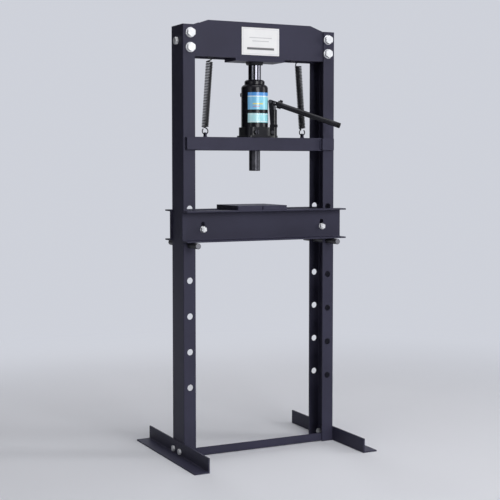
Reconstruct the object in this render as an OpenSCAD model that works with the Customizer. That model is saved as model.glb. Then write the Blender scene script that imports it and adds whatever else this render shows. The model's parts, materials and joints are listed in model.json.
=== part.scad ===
/* [Uprights] */
// Width over the webs of the two uprights
frame_w = 586; // [520:1:660]
// Height of each upright
upright_h = 1470; // [1200:5:1800]
// Depth of an upright, front to back
upright_d = 100; // [90:1:115]
// Width of an upright's flange
upright_flange = 44; // [40:1:56]
// Wall of an upright
upright_t = 5; // [4:0.5:6]
// Inside radius of a channel's corners
bend_in = 3; // [2:0.5:4]
// Outside radius of a channel's corners
edge_out = 2.5; // [1:0.5:5]
// Highest height hole below the upright's end
top_hole_drop = 619; // [610:1:680]
// Distance between two height holes
hole_pitch = 122; // [110:1:140]
// Lowest height that a hole may have
hole_low_limit = 200; // [150:1:260]
// Hole centre from the web's outside
hole_inset = 24; // [20:0.5:26]

/* [Feet and brace] */
// Length of a foot, front to back
foot_l = 520; // [420:5:620]
// Height of a foot's upright leg
foot_h = 50; // [44:1:60]
// Width of a foot's leg on the floor
foot_w = 54; // [44:1:70]
// Thickness of a foot
foot_t = 5; // [4:0.5:7]
// Distance between a foot's two bolts
foot_bolt_span = 54; // [46:1:56]
// Gap between a foot bolt's head and the foot's inside round
foot_bolt_lift = 1.5; // [1:0.5:6]
// Thread diameter of a foot bolt
foot_bolt_d = 12; // [10:1:14]
// Height and width of the brace's angle section
brace_leg = 28; // [22:1:34]
// Thickness of the brace's angle section
brace_t = 4; // [3:0.5:5]
// Height of the brace above the floor
brace_z = 2; // [0:0.5:3]
// Thickness of the brace's end plates
brace_plate_t = 5; // [4:0.5:8]

/* [Top beam] */
// Height of the beam's plates
beam_h = 123; // [112:1:140]
// Rise of the beam above the uprights
beam_rise = 18; // [10:1:26]
// Width of the beam's flat top
beam_flat_w = 396; // [300:2:440]
// Thickness of the front and rear plates
beam_plate_t = 8; // [6:0.5:10]
// Distance between the two stiffeners
stiffener_span = 140; // [100:2:170]
// Thickness of a stiffener
stiffener_t = 10; // [6:0.5:14]
// Height of a stiffener
stiffener_h = 100; // [60:1:108]
// Thickness of an end plate
end_plate_t = 6; // [4:0.5:6.5]
// Height of an end plate
end_plate_h = 84; // [60:1:96]
// Width of the head plate
head_plate_w = 190; // [170:2:240]
// Thickness of the head plate
head_plate_t = 9; // [6:0.5:14]
// Thread diameter of a beam bolt
beam_bolt_d = 18; // [14:1:18]
// Bolt centre from the web's outside
beam_bolt_inset = 27; // [26:0.5:29]
// Upper bolt below the upright's end
beam_bolt_top = 28; // [24:0.5:36]
// Distance between the upper and lower bolt
beam_bolt_pitch = 49; // [42:0.5:54]
// Thread diameter of a side bolt
side_bolt_d = 16; // [12:1:16]
// Width of the sign plate
sign_w = 145; // [100:1:180]
// Height of the sign plate
sign_h = 94.5; // [60:0.5:100]
// Thickness of the sign plate
sign_t = 1.5; // [1:0.1:3]
// Sign's lower edge above the beam's
sign_lift = 11.5; // [6:0.5:14]

/* [Bed] */
// Length of a bed channel
bed_l = 615; // [600:1:680]
// Height of a bed channel
bed_h = 106; // [95:1:115]
// Width of a bed channel's flange
bed_flange = 47; // [40:1:60]
// Wall of a bed channel
bed_t = 5; // [4:0.5:7]
// Which height hole holds the bed, from the top with 0
bed_hole = 1; // [1:1:3]
// Diameter of a bed pin
bed_pin_d = 20; // [16:0.5:24]
// Play of a bed pin in its hole
pin_play = 2; // [1:0.25:3]
// Length of a bed pin
bed_pin_l = 240; // [230:2:300]
// Sideways play of the bed between the uprights
bed_play = 18; // [8:1:24]
// Diameter of a tie rod between its shoulders
tie_d = 17; // [16.5:0.5:20]
// Thread diameter of a tie rod
tie_thread_d = 12; // [8:0.5:12.5]
// Tie rod above the bed's underside
tie_rise = 42; // [34:1:52]
// Slot above the tie rod
slot_rise = 19; // [8:1:24]
// Gap beside a tie rod in its slot
slot_gap = 1; // [0.5:0.25:1.5]
// Width of a press plate
plate_w = 94; // [70:1:110]
// Depth of a press plate
plate_d = 176; // [150:1:190]
// Thickness of a press plate
plate_t = 15; // [10:0.5:16]
// Gap between the two press plates
plate_gap = 1; // [0.5:0.5:20]
// Middle of that gap, right of the centre
plate_x = -17; // [-60:1:60]

/* [Carriage] */
// Height of the carriage channel
carriage_h = 45; // [43:1:56]
// Wall of the carriage channel
carriage_t = 8; // [6:0.5:9]
// Gap between the carriage's end and an upright
carriage_side_gap = 3; // [1:0.5:6]
// Width of a guide plate
guide_w = 47; // [36:1:50]
// Height of a guide plate
guide_h = 41; // [30:1:44]
// Thickness of a guide plate
guide_t = 14; // [8:0.5:18]
// Lap of a guide plate on the channel
guide_lap = 8; // [5:0.5:14]
// Length of the pad under the web
pad_l = 180; // [120:2:260]
// Thickness of the pad
pad_t = 20; // [12:0.5:22]
// Diameter of the pressing pin
press_pin_d = 39; // [30:0.5:44]
// Pressing pin below the carriage
press_pin_drop = 71; // [50:1:78]
// Wall of the pressing pin's socket
socket_wall = 14; // [11:0.5:16]
// Diameter of the socket's set screw
set_screw_d = 8; // [6:0.5:9]

/* [Springs] */
// Wire of a spring
wire_d = 4; // [2.5:0.1:4.4]
// Outside diameter of a spring's coil
coil_d = 25; // [20:0.5:30]
// Distance between two turns of the coil
coil_pitch = 4.4; // [4.2:0.1:12]
// Coil's upper end below the beam
coil_drop = 14; // [10:0.5:20]
// Radius of a spring's end loops
loop_r = 10.5; // [8:0.5:12]
// Upper anchor from the middle
anchor_x = 163; // [130:1:180]
// Diameter of an anchor rod
anchor_d = 10; // [6:0.5:11]
// Anchor rod above the beam's lower edge
anchor_rise = 8; // [6:0.5:14]
// Spring lug from the middle
lug_x = 190; // [150:1:210]
// Thickness of a spring lug
lug_t = 6; // [4:0.5:7]
// Width of a spring lug
lug_w = 16; // [13:0.5:22]
// Height of the lug's hole above the carriage
lug_hole_z = 8.5; // [7:0.5:12]
// Diameter of the lug's hole
lug_hole_d = 9; // [7:0.25:10]

/* [Jack body] */
// Height of the jack's base
base_h = 36; // [34:1:42]
// Width of the base's foot
base_w = 100; // [96:1:116]
// Corner radius of the base's foot
base_corner = 15; // [8:1:24]
// Thickness of the base's foot
base_foot_t = 7; // [5:0.5:9]
// Width of the base's block
block_w = 95; // [94:0.5:96]
// Corner radius of the base's block
block_corner = 25; // [24:1:34]
// Outside diameter of the reservoir
reservoir_d = 94; // [88:0.5:95]
// Height of the reservoir's straight wall
reservoir_h = 135; // [132:1:160]
// Wall of the reservoir
reservoir_t = 4; // [2:0.5:5]
// Height of the reservoir's round shoulder
shoulder_h = 13; // [10:0.5:13.5]
// Outside diameter of the pressure cylinder
cylinder_d = 66; // [62:0.5:67]
// Bore of the pressure cylinder
cylinder_bore = 51; // [50:0.25:54]
// Depth of the cylinder's seat in the base
cylinder_seat = 14; // [8:0.5:16]
// Diameter of the top nut
top_nut_d = 71; // [68:0.5:80]
// Height of the top nut
top_nut_h = 16.5; // [12:0.5:24]
// Depth of the top nut's spigot
top_nut_spigot = 6; // [4:0.5:7]
// Arc of the label fields in degrees
label_arc = 113; // [60:1:130]
// Lower edge of the lower label field above the base
label_low_z = 16; // [4:1:24]
// Height of the lower label field
label_low_h = 32; // [20:1:40]
// Bare band between the two label fields
label_gap_h = 12.5; // [4:0.5:20]
// Height of the upper label field
label_high_h = 59.5; // [30:0.5:66]
// Thickness of a label field
label_t = 0.4; // [0.2:0.1:0.8]
// Diameter of the filler plug's head
plug_d = 15; // [13:0.5:20]
// Height of the filler plug above the base
plug_z = 114; // [80:1:120]

/* [Ram] */
// Diameter of the ram
ram_d = 45; // [38:0.5:46]
// Ram out of the jack, as shown
ram_out = 51.5; // [50:0.5:60]
// Ram left in the stroke when fully down
ram_spare = 5; // [2:0.5:6]
// Height of the piston
piston_h = 12; // [10:0.5:14]
// Diameter of the piston
piston_d = 50; // [48:0.25:50.25]
// Depth of the piston's seal groove
groove_depth = 3; // [2:0.25:4]
// Height of the piston's seal
seal_h = 5; // [3:0.25:6]
// Diameter of the extension screw
screw_d = 29; // [20:0.5:32]
// Length of the extension screw
screw_l = 110; // [80:1:130]
// Height of the saddle
saddle_h = 10; // [8:0.5:16]
// Top diameter of the saddle
saddle_d = 66.5; // [56:0.5:80]
// Bottom diameter of the saddle
saddle_low_d = 57; // [48:0.5:66]

/* [Pump and handle] */
// Direction of the pump, from right towards front
pump_angle = 28; // [20:1:60]
// Pump's axis from the jack's axis
pump_r = 67; // [66:0.5:72]
// Radius of the pump's boss on the base
boss_r = 11.5; // [10.5:0.25:12]
// Radius of the boss's foot
boss_foot_r = 14; // [12.5:0.5:24]
// Width of the web from the base's block to the pump
web_w = 44; // [28:1:60]
// Diameter of the pump barrel
barrel_d = 23; // [20:0.5:23.5]
// Top of the pump barrel above the carriage
barrel_top = 98; // [70:1:99]
// Depth of the barrel's seat in the base
barrel_seat = 10; // [6:0.5:11]
// Diameter of the plunger
plunger_d = 15; // [13:0.5:15.5]
// Fulcrum pin from the jack's axis
fulcrum_r = 55; // [54.5:0.25:56]
// Fulcrum pin above the carriage
fulcrum_z = 125.5; // [122:0.5:135]
// Diameter of the fulcrum and link pins
link_pin_d = 8; // [6:0.25:8.5]
// Diameter of the plunger's pin
plunger_pin_d = 6; // [4:0.25:6.5]
// Lower link pin from the jack's axis
link_low_r = 63; // [62:0.5:66]
// Metal between the barrel's seat and the lower link pin
link_drop = 4; // [2:0.5:6]
// Width of a link
link_w = 12; // [10:0.5:12]
// Thickness of a link
link_t = 4; // [3:0.5:6]
// Slope of the handle below the horizontal
handle_slope = 19; // [16:0.5:22]
// Outside diameter of the handle socket
handle_socket_d = 27; // [25:0.5:28]
// Outer end of the socket from the fulcrum
socket_end = 42; // [40:1:70]
// Diameter of the handle
handle_d = 19; // [14:0.5:20]
// Wall of the handle's tube
handle_wall = 2.5; // [1.5:0.25:4]
// Tip of the handle from the fulcrum
handle_reach = 259; // [200:1:420]
// Length of the handle cap's head
cap_head = 13; // [4:0.5:30]
// Length of the handle cap's stem in the tube
cap_stem = 16; // [10:0.5:40]
// Release valve left of the jack's axis
valve_x = 20; // [0:1:22]
// Release valve above the carriage
valve_z = 19; // [17:0.5:22]
// Diameter of the release valve's head
valve_d = 15; // [12:0.5:18]
// Length of the release valve's head
valve_l = 14; // [10:0.5:20]

/* [Clearances] */
// Gap between parts that move on each other
run_gap = 0.3; // [0.3:0.05:0.5]
// Gap beside the bed and the carriage's guides
guide_gap = 0.5; // [0.4:0.05:1]
// Gap around a bolt in its hole
bolt_gap = 0.5; // [0.25:0.05:0.75]
// Gap around a part that is seated or screwed in
seat_gap = 0.1; // [0.05:0.01:0.15]
// Gap between a spring's loop and what holds it
loop_gap = 0.8; // [0.7:0.05:0.9]

/* [Hidden] */
$fn = 64;
// Spare length of a cut beyond the wall it goes through
cut = 2;
// Thread that stands out of a nut
thread_out = 3;

black = "#2c2c31";
gloss_black = "#151518";
zinc = "#d8dadd";
bright = "#9a9aa2";
dull = "#3a3a40";
white = "#eef0f2";
blue = "#4a8fd8";
cyan = "#7fd3e6";
rubber = "#1b1b1c";

// Standard proportions of hexagons and washers for a thread
function across_flats(d) = 1.5 * d;
function head_h(d) = 0.62 * d;
function nut_h(d) = 0.8 * d;
function washer_d(d) = 1.88 * d;
function washer_t(d) = 0.16 * d;

// Places that follow from the driving sizes
upright_bend = bend_in + upright_t;
web_in = frame_w / 2 - upright_t;
flange_edge = frame_w / 2 - upright_flange;
front_in = upright_d / 2 - upright_t;
pin_hole_d = bed_pin_d + pin_play;
pin_x = frame_w / 2 - hole_inset;
top_hole_z = upright_h - top_hole_drop;
hole_count = 1 + floor((top_hole_z - hole_low_limit) / hole_pitch);
beam_top = upright_h + beam_rise;
beam_bottom = beam_top - beam_h;
beam_reach = frame_w / 2 - upright_bend;
plate_in = front_in - beam_plate_t;
beam_bolt_x = frame_w / 2 - beam_bolt_inset;
beam_bolt_zs = [upright_h - beam_bolt_top, upright_h - beam_bolt_top - beam_bolt_pitch];
side_bolt_z = upright_h - beam_bolt_top - beam_bolt_pitch / 2;
head_bottom = beam_bottom - head_plate_t;
foot_round = 0.7 * foot_t;
foot_bolt_z = foot_t + foot_round + foot_bolt_lift + across_flats(foot_bolt_d) / 2;
brace_plate_h = foot_bolt_z + across_flats(foot_bolt_d);
brace_plate_reach = upright_d / 2 - upright_bend;

bed_pin_z = top_hole_z - bed_hole * hole_pitch - pin_play / 2 + run_gap;
bed_z = bed_pin_z + bed_pin_d / 2 + run_gap;
bed_web_y = upright_d / 2 + guide_gap;
tie_span = 2 * flange_edge - tie_d - bed_play;
bed_x = bed_play / 2 - guide_gap;
tie_xs = [bed_x - tie_span / 2, bed_x + tie_span / 2];
tie_z = bed_z + tie_rise;
slot_w = tie_thread_d + 2 * slot_gap;
bed_front_y = bed_web_y + bed_flange;

cylinder_top = base_h + reservoir_h + shoulder_h;
jack_h = cylinder_top + top_nut_h;
ram_top_z = head_bottom - saddle_h;
deck_z = ram_top_z - ram_out - jack_h;
carriage_d = upright_d + 2 * guide_gap;
carriage_l = 2 * (flange_edge - carriage_side_gap);
pad_d = carriage_d - 2 * carriage_t - 2 * bend_in;
pad_bottom = deck_z - carriage_t - pad_t;
carriage_bottom = deck_z - carriage_h;
press_shank_d = press_pin_d - 4;

coil_r = (coil_d - wire_d) / 2;
anchor_z = beam_bottom + anchor_rise;
top_loop_z = anchor_z + anchor_d / 2 + loop_gap + wire_d / 2 - loop_r;
low_loop_z = deck_z + lug_hole_z + lug_hole_d / 2 - wire_d / 2 - loop_gap + loop_r;
coil_top = [anchor_x + coil_r, beam_bottom - coil_drop];
coil_low = [lug_x, low_loop_z + loop_r + wire_d];
lug_h = lug_hole_z + lug_w / 2;

ram_low_z = deck_z + base_h - cylinder_seat + ram_out - ram_spare;
ram_l = ram_top_z - ram_low_z;
groove_z = (piston_h - seal_h) / 2;
saddle_neck_d = screw_d * 0.6;
saddle_neck_h = saddle_h / 2;

plunger_pin_r = pump_r - fulcrum_r;
plunger_pin_z = fulcrum_z - plunger_pin_r * tan(handle_slope);
plunger_low = base_h - barrel_seat + 1;
eye_half = plunger_pin_d / 2 + 2;
eye_t = plunger_d - 4;
eye_neck = 13;
ear_in = eye_t / 2 + 1;
ear_t = 4.5;
ear_r = link_pin_d / 2 + 3;
link_side_gap = 0.7;
link_in = max(ear_in + ear_t, boss_r) + link_side_gap;
link_low_z = base_h - barrel_seat - link_drop - link_pin_d / 2;
web_root = block_w - 2 * base_foot_t;
web_end = link_low_r - (link_low_r - fulcrum_r) * (base_h - link_low_z) / (fulcrum_z - link_low_z)
  - link_w / 2 - 2 * link_side_gap;
pin_head_t = 2;
pin_head_d = link_pin_d + 4;
socket_start = 26;
socket_floor = 4;
handle_start = socket_start + socket_floor;
slot_from = plunger_pin_r / cos(handle_slope) - 0.6;
slot_to = slot_from + 3.4;
slot_play = 0.8;
handle_end = handle_reach - cap_head;
clamp_s = (handle_start + socket_end) / 2;
clamp_d = 7;
clamp_head_d = 11;
clamp_head_h = 4;
valve_stem_d = 12;
valve_stem_l = 14;
valve_slot_w = 4;
valve_slot_depth = 5;
plug_stem_d = plug_d - 5;
plug_head_h = 4;
plug_turn = 135;

// Points of an arc about c from angle a0 to angle a1
function arc(c, r, a0, a1, n = 8) =
  [for (i = [0:n]) let (a = a0 + (a1 - a0) * i / n) c + r * [cos(a), sin(a)]];

// Section of a channel: web on x = 0, flanges towards +x, height d along y
function channel_section(d, w, t) = let (e = edge_out, r = bend_in, s = t + r) concat(
  [[w, -d / 2]],
  arc([e, -d / 2 + e], e, 270, 180),
  arc([e, d / 2 - e], e, 180, 90),
  [[w, d / 2], [w, d / 2 - t]],
  arc([s, d / 2 - s], r, 90, 180),
  arc([s, -d / 2 + s], r, 180, 270),
  [[w, -d / 2 + t]]
);

// Section of an angle bar: legs along +x and +y from the outer corner, with a round inside
function angle_section(w, h, t, r) =
  concat([[0, 0], [w, 0], [w, t]], arc([t + r, t + r], r, 270, 180), [[t, h], [0, h]]);

// Outline of a rectangle with round corners, about the origin
function round_box(w, d, r) = concat(
  arc([w / 2 - r, d / 2 - r], r, 0, 90),
  arc([r - w / 2, d / 2 - r], r, 90, 180),
  arc([r - w / 2, r - d / 2], r, 180, 270),
  arc([w / 2 - r, r - d / 2], r, 270, 360)
);

// Outline of a bar with round ends from p to q
function stadium(p, q, r) = let (a = atan2(q.y - p.y, q.x - p.x))
  concat(arc(q, r, a - 90, a + 90, 12), arc(p, r, a + 90, a + 270, 12));

// Left-hand children as they are, or mirrored for the right
module on_side(side) {
  if (side < 0) children();
  else mirror([1, 0, 0]) children();
}

// Front children mirrored to the rear
module on_face(face) {
  if (face < 0) children();
  else mirror([0, 1, 0]) children();
}

// A flat outline in x and z, extruded along y from y0 by t
module upright_plate(y0, t) {
  translate([0, y0 + t, 0]) rotate([90, 0, 0]) linear_extrude(t) children();
}

// A section in y and z, extruded along x about the middle
module cross_bar(len) {
  translate([-len / 2, 0, 0]) rotate([90, 0, 90]) linear_extrude(len) children();
}

// Hexagon from z = 0 with its far corners chamfered, flats facing x
module hexagon(af, h) {
  intersection() {
    rotate(30) cylinder(d = af / cos(30), h = h, $fn = 6);
    cylinder(r1 = 0.48 * af + h * tan(60), r2 = 0.48 * af, h = h);
  }
}

// Bolt whose head bears on z = 0 and whose shank goes along +z
module hex_bolt(d, len) {
  mirror([0, 0, 1]) hexagon(across_flats(d), head_h(d));
  translate([0, 0, -cut / 2]) cylinder(d = d, h = len + cut / 2);
}

// Nut from z = 0 along +z
module hex_nut(d) {
  difference() {
    hexagon(across_flats(d), nut_h(d));
    translate([0, 0, -cut]) cylinder(d = d + 2 * seat_gap, h = nut_h(d) + 2 * cut);
  }
}

// Washer from z = 0 along +z
module washer(d) {
  difference() {
    cylinder(d = washer_d(d), h = washer_t(d));
    translate([0, 0, -cut]) cylinder(d = d + 2 * bolt_gap, h = washer_t(d) + 2 * cut);
  }
}

// Round bar along y with chamfered ends
module bar_y(d, len) {
  chamfer = d * 0.07;
  rotate([90, 0, 0]) rotate_extrude() polygon([
    [0, -len / 2], [d / 2 - chamfer, -len / 2], [d / 2, -len / 2 + chamfer],
    [d / 2, len / 2 - chamfer], [d / 2 - chamfer, len / 2], [0, len / 2]
  ]);
}

// Beam bolt places: z = 0 on the flange's outside, +z inwards
module at_beam_bolts() {
  for (side = [-1, 1], face = [-1, 1], z = beam_bolt_zs)
    translate([side * beam_bolt_x, face * upright_d / 2, z]) rotate([face * 90, 0, 0]) children();
}

// Side bolt places: z = 0 on the web's outside, +z inwards
module at_side_bolts() {
  for (side = [-1, 1])
    translate([side * frame_w / 2, 0, side_bolt_z]) rotate([0, -side * 90, 0]) children();
}

// Foot bolt places: z = 0 on the foot's outside, +z inwards
module at_foot_bolts() {
  for (side = [-1, 1], y = [-1, 1])
    translate([side * (frame_w / 2 + foot_t), y * foot_bolt_span / 2, foot_bolt_z])
      rotate([0, -side * 90, 0]) children();
}

// Tie rod ends: z = 0 on the bed web's outside, +z inwards
module at_tie_ends() {
  for (x = tie_xs, face = [-1, 1])
    translate([x, face * (bed_web_y + bed_t), tie_z]) rotate([face * 90, 0, 0]) children();
}

// Upright with all its holes, as it stands on the left
module upright() {
  difference() {
    translate([-frame_w / 2, 0, 0]) linear_extrude(upright_h)
      polygon(channel_section(upright_d, upright_flange, upright_t));
    for (k = [0:hole_count - 1])
      translate([-pin_x, 0, top_hole_z - k * hole_pitch]) rotate([90, 0, 0])
        cylinder(d = pin_hole_d, h = upright_d + 2 * cut, center = true);
    for (z = beam_bolt_zs)
      translate([-beam_bolt_x, 0, z]) rotate([90, 0, 0])
        cylinder(d = beam_bolt_d + 2 * bolt_gap, h = upright_d + 2 * cut, center = true);
    translate([-frame_w / 2 - cut, 0, side_bolt_z]) rotate([0, 90, 0])
      cylinder(d = side_bolt_d + 2 * bolt_gap, h = upright_t + 2 * cut);
    for (y = [-1, 1])
      translate([-frame_w / 2 - cut, y * foot_bolt_span / 2, foot_bolt_z]) rotate([0, 90, 0])
        cylinder(d = foot_bolt_d + 2 * bolt_gap, h = upright_t + 2 * cut);
  }
}

module left_upright() { color(black) on_side(-1) upright(); }

module right_upright() { color(black) on_side(1) upright(); }

// Plate of the beam with its sloping shoulders, as it stands in front
module beam_plate() {
  difference() {
    upright_plate(-front_in, beam_plate_t) polygon([
      [-beam_reach, beam_bottom], [beam_reach, beam_bottom], [beam_reach, upright_h],
      [flange_edge, upright_h], [beam_flat_w / 2, beam_top], [-beam_flat_w / 2, beam_top],
      [-flange_edge, upright_h], [-beam_reach, upright_h]
    ]);
    for (side = [-1, 1], z = beam_bolt_zs)
      translate([side * beam_bolt_x, -front_in - cut, z]) rotate([-90, 0, 0])
        cylinder(d = beam_bolt_d + 2 * bolt_gap, h = beam_plate_t + 2 * cut);
  }
}

module beam_front_plate() { color(black) on_face(-1) beam_plate(); }

module beam_rear_plate() { color(black) on_face(1) beam_plate(); }

module beam_stiffeners() {
  color(black)
    for (side = [-1, 1])
      translate([side * stiffener_span / 2 - stiffener_t / 2, -plate_in, beam_bottom])
        cube([stiffener_t, 2 * plate_in, stiffener_h]);
}

module beam_end_plates() {
  color(black) for (side = [-1, 1]) on_side(side) difference() {
    translate([-web_in, -plate_in, side_bolt_z - end_plate_h / 2])
      cube([end_plate_t, 2 * plate_in, end_plate_h]);
    translate([-web_in - cut, 0, side_bolt_z]) rotate([0, 90, 0])
      cylinder(d = side_bolt_d + 2 * bolt_gap, h = end_plate_t + 2 * cut);
  }
}

module head_plate() {
  color(black) translate([-head_plate_w / 2, -front_in, head_bottom])
    cube([head_plate_w, 2 * front_in, head_plate_t]);
}

module spring_anchor_rods() {
  color(black) for (side = [-1, 1])
    translate([side * anchor_x, 0, anchor_z]) rotate([90, 0, 0])
      cylinder(d = anchor_d, h = 2 * plate_in, center = true);
}

module sign_plate() {
  corner = 1;
  color(white) translate([0, 0, beam_bottom + sign_lift + sign_h / 2])
    upright_plate(-front_in - sign_t, sign_t) polygon(round_box(sign_w, sign_h, corner));
}

module beam_bolts() {
  color(zinc) at_beam_bolts() translate([0, 0, -washer_t(beam_bolt_d)])
    hex_bolt(beam_bolt_d,
      washer_t(beam_bolt_d) + upright_t + beam_plate_t + nut_h(beam_bolt_d) + thread_out);
}

module beam_washers() {
  color(zinc) at_beam_bolts() mirror([0, 0, 1]) washer(beam_bolt_d);
}

module beam_nuts() {
  color(zinc) at_beam_bolts() translate([0, 0, upright_t + beam_plate_t]) hex_nut(beam_bolt_d);
}

module side_bolts() {
  color(zinc) at_side_bolts()
    hex_bolt(side_bolt_d, upright_t + end_plate_t + nut_h(side_bolt_d) + thread_out);
}

module side_nuts() {
  color(zinc) at_side_bolts() translate([0, 0, upright_t + end_plate_t]) hex_nut(side_bolt_d);
}

// Foot under the left upright: the upright leg lies on the web's outside
module foot() {
  difference() {
    mirror([1, 0, 0]) translate([frame_w / 2, foot_l / 2, 0]) rotate([90, 0, 0])
      linear_extrude(foot_l) polygon(angle_section(foot_w, foot_h, foot_t, foot_round));
    for (y = [-1, 1])
      translate([-frame_w / 2 + cut, y * foot_bolt_span / 2, foot_bolt_z]) rotate([0, -90, 0])
        cylinder(d = foot_bolt_d + 2 * bolt_gap, h = foot_t + 2 * cut);
  }
}

module left_foot() { color(black) on_side(-1) foot(); }

module right_foot() { color(black) on_side(1) foot(); }

module foot_bolts() {
  color(zinc) at_foot_bolts()
    hex_bolt(foot_bolt_d, foot_t + upright_t + brace_plate_t + nut_h(foot_bolt_d) + thread_out);
}

module foot_nuts() {
  color(zinc) at_foot_bolts() translate([0, 0, foot_t + upright_t + brace_plate_t])
    hex_nut(foot_bolt_d);
}

// Angle bar between two plates that the foot bolts hold against the webs
module lower_brace() {
  color(black) difference() {
    union() {
      translate([0, -front_in, brace_z]) cross_bar(2 * (web_in - brace_plate_t) + cut)
        polygon(angle_section(brace_leg, brace_leg, brace_t, brace_t / 2));
      for (side = [-1, 1]) on_side(side)
        translate([-web_in, -brace_plate_reach, brace_z])
          cube([brace_plate_t, 2 * brace_plate_reach, brace_plate_h]);
    }
    for (side = [-1, 1], y = [-1, 1])
      translate([side * web_in, y * foot_bolt_span / 2, foot_bolt_z]) rotate([0, 90, 0])
        cylinder(d = foot_bolt_d + 2 * bolt_gap, h = 2 * brace_plate_t + cut, center = true);
  }
}

// Rear bed channel: web against the uprights, open to the back, slotted for the tie rods
module bed_channel() {
  difference() {
    translate([bed_x, bed_web_y, bed_z + bed_h / 2]) cross_bar(bed_l)
      polygon(channel_section(bed_h, bed_flange, bed_t));
    for (x = tie_xs)
      upright_plate(bed_web_y - cut, bed_t + 2 * cut)
        polygon(stadium([x, tie_z], [x, tie_z + slot_rise], slot_w / 2));
  }
}

module bed_front_channel() { color(black) mirror([0, 1, 0]) bed_channel(); }

module bed_rear_channel() { color(black) bed_channel(); }

module bed_tie_rods() {
  thread_l = 2 * (bed_web_y + bed_t + washer_t(tie_thread_d) + nut_h(tie_thread_d) + thread_out);
  color(zinc) for (x = tie_xs) translate([x, 0, tie_z]) rotate([90, 0, 0]) {
    cylinder(d = tie_d, h = 2 * bed_web_y, center = true);
    cylinder(d = tie_thread_d, h = thread_l, center = true);
  }
}

module bed_tie_washers() {
  color(zinc) at_tie_ends() mirror([0, 0, 1]) washer(tie_thread_d);
}

module bed_tie_nuts() {
  color(zinc) at_tie_ends() translate([0, 0, -washer_t(tie_thread_d)]) mirror([0, 0, 1])
    hex_nut(tie_thread_d);
}

module bed_pin(side) {
  color(bright) translate([side * pin_x, 0, bed_pin_z]) bar_y(bed_pin_d, bed_pin_l);
}

module left_bed_pin() { bed_pin(-1); }

module right_bed_pin() { bed_pin(1); }

module press_plate(side) {
  corner = 3;
  color(dull)
    translate([plate_x + side * (plate_w + plate_gap) / 2, plate_d / 2 - bed_front_y, bed_z + bed_h])
      linear_extrude(plate_t) polygon(round_box(plate_w, plate_d, corner));
}

module left_press_plate() { press_plate(-1); }

module right_press_plate() { press_plate(1); }

module carriage_channel() {
  color(black) translate([-carriage_l / 2, 0, deck_z]) rotate([0, 90, 0])
    linear_extrude(carriage_l)
      polygon(channel_section(carriage_d, carriage_h, carriage_t));
}

module carriage_pad() {
  color(black) translate([-pad_l / 2, -pad_d / 2, pad_bottom]) cube([pad_l, pad_d, pad_t]);
}

module guide_plates(face) {
  color(black) on_face(face) for (side = [-1, 1]) on_side(side)
    translate([-carriage_l / 2 + guide_lap - guide_w, -carriage_d / 2 - guide_t,
      deck_z - (carriage_h + guide_h) / 2])
      cube([guide_w, guide_t, guide_h]);
}

module front_guide_plates() { guide_plates(-1); }

module rear_guide_plates() { guide_plates(1); }

module pin_socket() {
  h = pad_bottom - carriage_bottom;
  color(black) difference() {
    translate([0, 0, carriage_bottom]) cylinder(d = press_shank_d + 2 * socket_wall, h = h);
    translate([0, 0, carriage_bottom - cut])
      cylinder(d = press_shank_d + 2 * seat_gap, h = h + 2 * cut);
    translate([0, 0, carriage_bottom + h / 2]) rotate([90, 0, 0])
      cylinder(d = set_screw_d + 2 * seat_gap, h = press_shank_d / 2 + socket_wall + cut);
  }
}

// Nose with a shoulder under the socket, and a shank up to the pad
module pressing_pin() {
  low = carriage_bottom - press_pin_drop;
  chamfer = 1.5;
  color(dull) translate([0, 0, low]) rotate_extrude() polygon([
    [0, 0], [press_pin_d / 2 - chamfer, 0], [press_pin_d / 2, chamfer],
    [press_pin_d / 2, press_pin_drop], [press_shank_d / 2, press_pin_drop],
    [press_shank_d / 2, pad_bottom - low], [0, pad_bottom - low]
  ]);
}

module pin_set_screw() {
  color(zinc) translate([0, -press_shank_d / 2 - seat_gap, (carriage_bottom + pad_bottom) / 2])
    rotate([90, 0, 0]) cylinder(d = set_screw_d, h = socket_wall - seat_gap);
}

module spring_lugs() {
  color(black) for (side = [-1, 1]) translate([side * lug_x, 0, deck_z]) difference() {
    cross_bar(lug_t) polygon(concat(
      [[-lug_w / 2, 0], [lug_w / 2, 0]],
      arc([0, lug_hole_z], lug_w / 2, 0, 180, 16)
    ));
    translate([0, 0, lug_hole_z]) rotate([0, 90, 0])
      cylinder(d = lug_hole_d, h = lug_t + 2 * cut, center = true);
  }
}

// Wire loop about p in the plane of the frame
module wire_loop(p) {
  translate([p.x, 0, p.y]) rotate([90, 0, 0]) rotate_extrude() translate([loop_r, 0])
    circle(d = wire_d);
}

// Straight wire from p to q in the plane of the frame
module wire_run(p, q) {
  translate([p.x, 0, p.y]) rotate([0, atan2(q.x - p.x, q.y - p.y), 0])
    cylinder(d = wire_d, h = norm(q - p));
}

// Coil as a sleeve with one round rib for each turn, and a loop at each end, on the right
module spring() {
  run = coil_low - coil_top;
  turns = floor(norm(run) / coil_pitch);
  pitch = norm(run) / turns;
  ribs = [for (i = [0:turns - 1], a = [-90, 0])
    [coil_r + wire_d / 2 * cos(a), (i + 0.5 + sin(a) / 2) * pitch]];
  translate([coil_top.x, 0, coil_top.y]) rotate([0, atan2(run.x, run.y), 0]) rotate_extrude()
    polygon(concat([[coil_r - wire_d / 2, 0]], ribs,
      [[coil_r, norm(run)], [coil_r - wire_d / 2, norm(run)]]));
  wire_loop([anchor_x, top_loop_z]);
  wire_run([anchor_x, top_loop_z - loop_r], coil_top + [-coil_r, -wire_d]);
  wire_loop([lug_x, low_loop_z]);
  wire_run([lug_x - coil_r / 2, low_loop_z + loop_r * cos(30)], coil_low + [-coil_r, wire_d]);
}

module left_spring() { color(gloss_black) mirror([1, 0, 0]) spring(); }

module right_spring() { color(gloss_black) spring(); }

// Jack parts: z = 0 on the carriage, x and y from the jack's axis
module on_deck() { translate([0, 0, deck_z]) children(); }

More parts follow.
